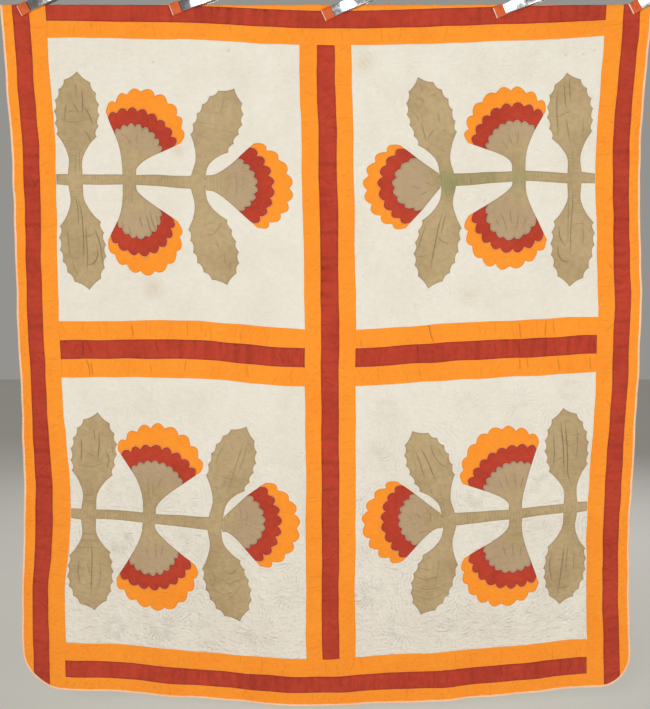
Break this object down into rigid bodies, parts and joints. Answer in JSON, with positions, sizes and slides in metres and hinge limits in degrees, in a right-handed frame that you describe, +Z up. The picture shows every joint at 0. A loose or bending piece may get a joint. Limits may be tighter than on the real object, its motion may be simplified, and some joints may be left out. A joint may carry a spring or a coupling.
{
  "type": "applique quilt hung from spring clamps",
  "caption": "Hung patchwork quilt with leaf and flower applique on cream blocks, striped borders and rounded lower corners, held by spring clamps along its top edge.",
  "frame": {"origin": "middle of the quilt's top edge, on the crest of the fold that the clamps grip", "axes": "+X to the viewer's right along the top edge, +Y away from the viewer through the quilt, +Z up; the front faces -Y"},
  "size_m": [2.1195, 0.0876, 2.2929],
  "materials": {
    "patchwork": "cream, orange and red cotton, hand quilted, matte",
    "binding": "pale peach cotton, matte",
    "tan_cotton": "faded olive tan cotton, matte",
    "red_cotton": "brick red cotton, matte",
    "orange_cotton": "bright orange cotton, matte",
    "steel": "bright nickel plate, slightly worn",
    "vinyl": "soft orange vinyl, satin"
  },
  "bodies": {
    "root": {"quilt_body": "patchwork", "binding": "binding", "vine_top_left": "tan_cotton", "red_top_left_up": "red_cotton", "orange_top_left_up": "orange_cotton", "red_top_left_down": "red_cotton", "orange_top_left_down": "orange_cotton", "red_top_left_end": "red_cotton", "orange_top_left_end": "orange_cotton", "vine_top_right": "tan_cotton", "red_top_right_up": "red_cotton", "orange_top_right_up": "orange_cotton", "red_top_right_down": "red_cotton", "orange_top_right_down": "orange_cotton", "red_top_right_end": "red_cotton", "orange_top_right_end": "orange_cotton", "vine_bottom_left": "tan_cotton", "red_bottom_left_up": "red_cotton", "orange_bottom_left_up": "orange_cotton", "red_bottom_left_down": "red_cotton", "orange_bottom_left_down": "orange_cotton", "red_bottom_left_end": "red_cotton", "orange_bottom_left_end": "orange_cotton", "vine_bottom_right": "tan_cotton", "red_bottom_right_up": "red_cotton", "orange_bottom_right_up": "orange_cotton", "red_bottom_right_down": "red_cotton", "orange_bottom_right_down": "orange_cotton", "red_bottom_right_end": "red_cotton", "orange_bottom_right_end": "orange_cotton", "clamp_1_front_arm": "steel", "clamp_1_back_arm": "steel", "clamp_1_front_tip": "vinyl", "clamp_1_back_tip": "vinyl", "clamp_1_pivot": "steel", "clamp_2_front_arm": "steel", "clamp_2_back_arm": "steel", "clamp_2_front_tip": "vinyl", "clamp_2_back_tip": "vinyl", "clamp_2_pivot": "steel", "clamp_3_front_arm": "steel", "clamp_3_back_arm": "steel", "clamp_3_front_tip": "vinyl", "clamp_3_back_tip": "vinyl", "clamp_3_pivot": "steel", "clamp_4_front_arm": "steel", "clamp_4_back_arm": "steel", "clamp_4_front_tip": "vinyl", "clamp_4_back_tip": "vinyl", "clamp_4_pivot": "steel", "clamp_5_front_arm": "steel", "clamp_5_back_arm": "steel", "clamp_5_front_tip": "vinyl", "clamp_5_back_tip": "vinyl", "clamp_5_pivot": "steel"}
  },
  "joints": []
}
